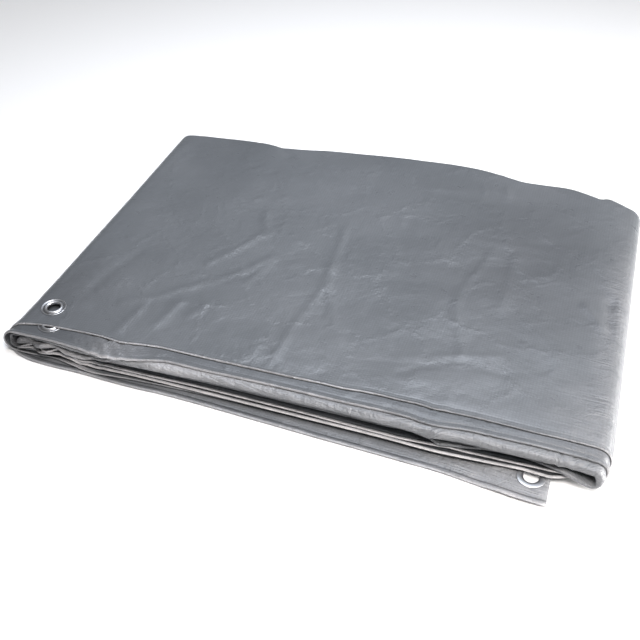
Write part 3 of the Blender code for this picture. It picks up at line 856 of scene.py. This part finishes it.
def coated_cloth():
    """Polyethylene cloth: flat tapes woven square and laminated on both sides.

    The film gives a satin shine that small dents and crumples break up, and the weave shows through it as a
    faint square grid. Painted light and painted shade follow the sheet's two values for them.
    """
    made, tree, shader = new_material("Coated_Woven_Cloth")
    place_on = add(tree, "ShaderNodeTexCoord").outputs["UV"]
    parts = add(tree, "ShaderNodeSeparateXYZ", {"Vector": place_on})
    # two crossed waves make the square of the tapes
    waves = []
    for axis in ("X", "Y"):
        half_turns = math.pi / (WEAVE_PITCH * MM)
        turns = add(tree, "ShaderNodeMath", {0: parts.outputs[axis], 1: half_turns}, operation="MULTIPLY")
        wave = add(tree, "ShaderNodeMath", {0: turns.outputs[0]}, operation="SINE")
        waves.append(add(tree, "ShaderNodeMath", {0: wave.outputs[0]}, operation="ABSOLUTE").outputs[0])
    weave = add(tree, "ShaderNodeMath", {0: waves[0], 1: waves[1]}, operation="MULTIPLY").outputs[0]
    grain = add(
        tree,
        "ShaderNodeTexNoise",
        {"Vector": place_on, "Scale": GRAIN_SCALE, "Detail": 5.0, "Roughness": 0.6},
    )
    soft = add(tree, "ShaderNodeTexNoise", {"Vector": place_on, "Scale": TINT_SCALE, "Detail": 3.0})
    tint = add(
        tree,
        "ShaderNodeMix",
        {0: soft.outputs["Fac"], 6: linear("#565a5e"), 7: linear("#686b6f")},
        data_type="RGBA",
    )
    lines = add(tree, "ShaderNodeMapRange", {"Value": weave, "To Min": 0.86, "To Max": 1.03})
    woven_tint = add(
        tree,
        "ShaderNodeVectorMath",
        {0: tint.outputs[2], 3: lines.outputs[0]},
        operation="SCALE",
    )
    # painted light whitens the colour in flecks, and painted shade darkens it
    painted_light_value = add(tree, "ShaderNodeAttribute", attribute_name="Painted_Light")
    patchy = add(
        tree,
        "ShaderNodeMath",
        {0: painted_light_value.outputs["Fac"], 1: grain.outputs["Fac"]},
        operation="MULTIPLY",
    )
    painted_lit = add(
        tree,
        "ShaderNodeMix",
        {0: patchy.outputs[0], 6: woven_tint.outputs[0], 7: linear("#dddadb")},
        data_type="RGBA",
    )
    painted_shade_value = add(tree, "ShaderNodeAttribute", attribute_name="Painted_Shade")
    painted_shaded = add(
        tree,
        "ShaderNodeMix",
        {0: painted_shade_value.outputs["Fac"], 6: painted_lit.outputs[2], 7: linear("#2c2c2f")},
        data_type="RGBA",
    )
    tree.links.new(painted_shaded.outputs[2], shader.inputs["Base Color"])
    # a satin film, a little more matt in patches
    rough = add(
        tree,
        "ShaderNodeMapRange",
        {"Value": grain.outputs["Fac"], "From Min": 0.3, "From Max": 0.7, "To Min": 0.26, "To Max": 0.38},
    )
    tree.links.new(rough.outputs[0], shader.inputs["Roughness"])
    # crumples, and streaks drawn out along the folds, as bumps that follow the painted light up to a cap
    streaks_at = add(tree, "ShaderNodeMapping", {"Vector": place_on, "Scale": STREAK_SCALE})
    streaks = add(
        tree,
        "ShaderNodeTexNoise",
        {"Vector": streaks_at.outputs[0], "Scale": 1.0, "Detail": 3.0},
    )
    crumples = add(
        tree,
        "ShaderNodeTexNoise",
        {"Vector": place_on, "Scale": CRUMPLE_SCALE, "Detail": 3.0, "Distortion": 1.5},
    )
    both = add(
        tree,
        "ShaderNodeMath",
        {0: crumples.outputs["Fac"], 1: 0.8, 2: streaks.outputs["Fac"]},
        operation="MULTIPLY_ADD",
    )
    streak_share = add(tree, "ShaderNodeMath", {0: painted_light_value.outputs["Fac"], 1: 0.3}, operation="MINIMUM")
    streak_height = add(
        tree,
        "ShaderNodeMath",
        {0: streak_share.outputs[0], 1: both.outputs[0]},
        operation="MULTIPLY",
    )
    creased = add(
        tree,
        "ShaderNodeBump",
        {"Height": streak_height.outputs[0], "Strength": 1.0, "Distance": 0.006},
    )
    # shallow dents, lines pressed while it lay folded, fine crinkle and the weave's relief
    dents = add(
        tree,
        "ShaderNodeTexNoise",
        {"Vector": place_on, "Scale": DENT_SCALE, "Detail": 3.0, "Distortion": 0.8},
    )
    dented = add(
        tree,
        "ShaderNodeBump",
        {
            "Height": dents.outputs["Fac"],
            "Strength": 0.5,
            "Distance": 0.003,
            "Normal": creased.outputs["Normal"],
        },
    )
    bent = add(tree, "ShaderNodeMix", {0: 0.06, 4: place_on, 5: soft.outputs["Color"]}, data_type="VECTOR")
    cells = add(
        tree,
        "ShaderNodeTexVoronoi",
        {"Vector": bent.outputs[1], "Scale": CELL_SCALE, "Randomness": 1.0},
        feature="DISTANCE_TO_EDGE",
    )
    ridge = add(
        tree,
        "ShaderNodeMapRange",
        {"Value": cells.outputs["Distance"], "From Max": 0.09, "To Min": 1.0, "To Max": 0.0},
    )
    mask = add(
        tree,
        "ShaderNodeMapRange",
        {"Value": grain.outputs["Fac"], "From Min": 0.42, "From Max": 0.62},
    )
    broken = add(tree, "ShaderNodeMath", {0: ridge.outputs[0], 1: mask.outputs[0]}, operation="MULTIPLY")
    pressed = add(
        tree,
        "ShaderNodeBump",
        {
            "Height": broken.outputs[0],
            "Strength": 0.5,
            "Distance": 0.0008,
            "Normal": dented.outputs["Normal"],
        },
    )
    crinkle = add(
        tree,
        "ShaderNodeBump",
        {
            "Height": grain.outputs["Fac"],
            "Strength": 0.5,
            "Distance": 0.0014,
            "Normal": pressed.outputs["Normal"],
        },
    )
    woven = add(
        tree,
        "ShaderNodeBump",
        {"Height": weave, "Strength": 0.35, "Distance": 0.00012, "Normal": crinkle.outputs["Normal"]},
    )
    tree.links.new(woven.outputs["Normal"], shader.inputs["Normal"])
    return made


def nickel_plate():
    """Stamped steel under bright nickel plate.

    It gives a sharp light edge on the barrel, softened by handling haze, and its grooves are darkened with
    painted shade.
    """
    made, tree, shader = new_material("Nickel_Plated_Steel")
    place_on = add(tree, "ShaderNodeTexCoord").outputs["Object"]
    haze = add(tree, "ShaderNodeTexNoise", {"Vector": place_on, "Scale": HAZE_SCALE, "Detail": 2.0})
    rough = add(
        tree,
        "ShaderNodeMapRange",
        {"Value": haze.outputs["Fac"], "From Min": 0.3, "From Max": 0.7, "To Min": 0.36, "To Max": 0.44},
    )
    tree.links.new(rough.outputs[0], shader.inputs["Roughness"])
    shader.inputs["Metallic"].default_value = 1.0
    # painted shade: the grooves are mixed toward dark by the ring's groove value
    groove_shade = add(tree, "ShaderNodeAttribute", attribute_name="Groove_Shade")
    tint = add(
        tree,
        "ShaderNodeMix",
        {0: groove_shade.outputs["Fac"], 6: linear("#c9cacd"), 7: linear("#3c3c40")},
        data_type="RGBA",
    )
    tree.links.new(tint.outputs[2], shader.inputs["Base Color"])
    return made


def floor_paper():
    """White studio paper: uncoated and matt, so that it shows only soft shadows."""
    made, _, shader = new_material("White_Studio_Paper")
    shader.inputs["Base Color"].default_value = linear("#f4f4f4")
    shader.inputs["Roughness"].default_value = 0.9
    return made


def studio_floor():
    """A pale square floor under the pack."""
    mesh = bpy.data.meshes.new("Studio_Floor")
    half = FLOOR_HALF
    corners = [(-half, -half, 0), (half, -half, 0), (half, half, 0), (-half, half, 0)]
    mesh.from_pydata(corners, [], [(0, 1, 2, 3)])
    mesh.materials.append(floor_paper())
    made = put("Studio_Floor", mesh)
    return made


def soft_box(name, place_at, aim_at, size, watts, colour):
    """A square soft box that looks at a point."""
    light = bpy.data.lights.new(name, "AREA")
    light.shape = "SQUARE"
    light.size = size
    light.energy = watts
    light.color = linear(colour)[:3]
    made = put(name, light)
    made.location = place_at
    made.rotation_euler = (Vector(aim_at) - Vector(place_at)).to_track_quat("-Z", "Y").to_euler()


def studio_light():
    """Dim white surround, a broad key light from above, and five soft boxes.

    One is behind, one overhead and one high in front, a low one at the right lights the wrap there, and a
    small one lights the front right corner.
    """
    world = bpy.data.worlds.new("Studio")
    world.use_nodes = True
    world.node_tree.nodes["Background"].inputs["Color"].default_value = linear("#ffffff")
    world.node_tree.nodes["Background"].inputs["Strength"].default_value = SURROUND_STRENGTH
    bpy.context.scene.world = world
    key = bpy.data.lights.new("Key", "SUN")
    key.energy = KEY_STRENGTH
    key.angle = math.radians(KEY_SPREAD)
    made = put("Key", key)
    made.rotation_euler = Vector((-0.15, 0.1, -1.0)).to_track_quat("-Z", "Y").to_euler()
    soft_box("Back_Box", (0.2, 0.45, 0.9), (0.1, 0.0, 0.0), 0.5, 1.7, "#eaf2ff")
    soft_box("Overhead_Box", (-0.08, 0.12, 0.8), (-0.08, 0.12, 0.0), 0.5, 4.5, "#eaf2ff")
    soft_box("Front_Box", (0.3, -0.5, 1.05), (0.05, -0.2, 0.0), 0.5, 9.8, "#fff9f5")
    soft_box("Right_Box", (1.1, -0.1, 0.14), (0.27, -0.1, 0.01), 0.6, 26, "#fffdfb")
    soft_box("Corner_Box", (0.42, -0.3, 0.45), (0.24, -0.14, 0.02), 0.25, 0.5, "#fffaf6")


def camera():
    """The photograph's view, a little to the right of the front and 40 degrees above."""
    azimuth = math.radians(CAMERA_AZIMUTH)
    fall = math.radians(CAMERA_FALL)
    roll = math.radians(CAMERA_ROLL)
    ahead = Vector((math.sin(azimuth) * math.cos(fall), math.cos(azimuth) * math.cos(fall), -math.sin(fall)))
    level = Vector((math.cos(azimuth), -math.sin(azimuth), 0.0))
    above = level.cross(ahead)
    right = level * math.cos(roll) + above * math.sin(roll)
    up = above * math.cos(roll) - level * math.sin(roll)
    lens = bpy.data.cameras.new("Camera")
    lens.sensor_width = SENSOR
    lens.lens = LENS
    made = put("Camera", lens)
    turn = Matrix((right, up, -ahead)).transposed().to_4x4()
    made.matrix_world = Matrix.Translation(CAMERA_AT) @ turn
    bpy.context.scene.camera = made


def build():
    """The sheet and its eyelets on the part's body, each with the nodes that it replaces, and the studio."""
    cloth = coated_cloth()
    nickel = nickel_plate()
    sheet = tarp_sheet(cloth)
    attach(sheet, "root")
    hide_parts("Tarp_Cloth", "Hem_One", "Hem_Two")
    for name in EYELETS:
        ring = eyelet_ring(name, nickel)
        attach(ring, "root")
        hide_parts(name)
    floor = studio_floor()
    studio_light()
    camera()
    bpy.context.scene.view_settings.view_transform = "Standard"


build()
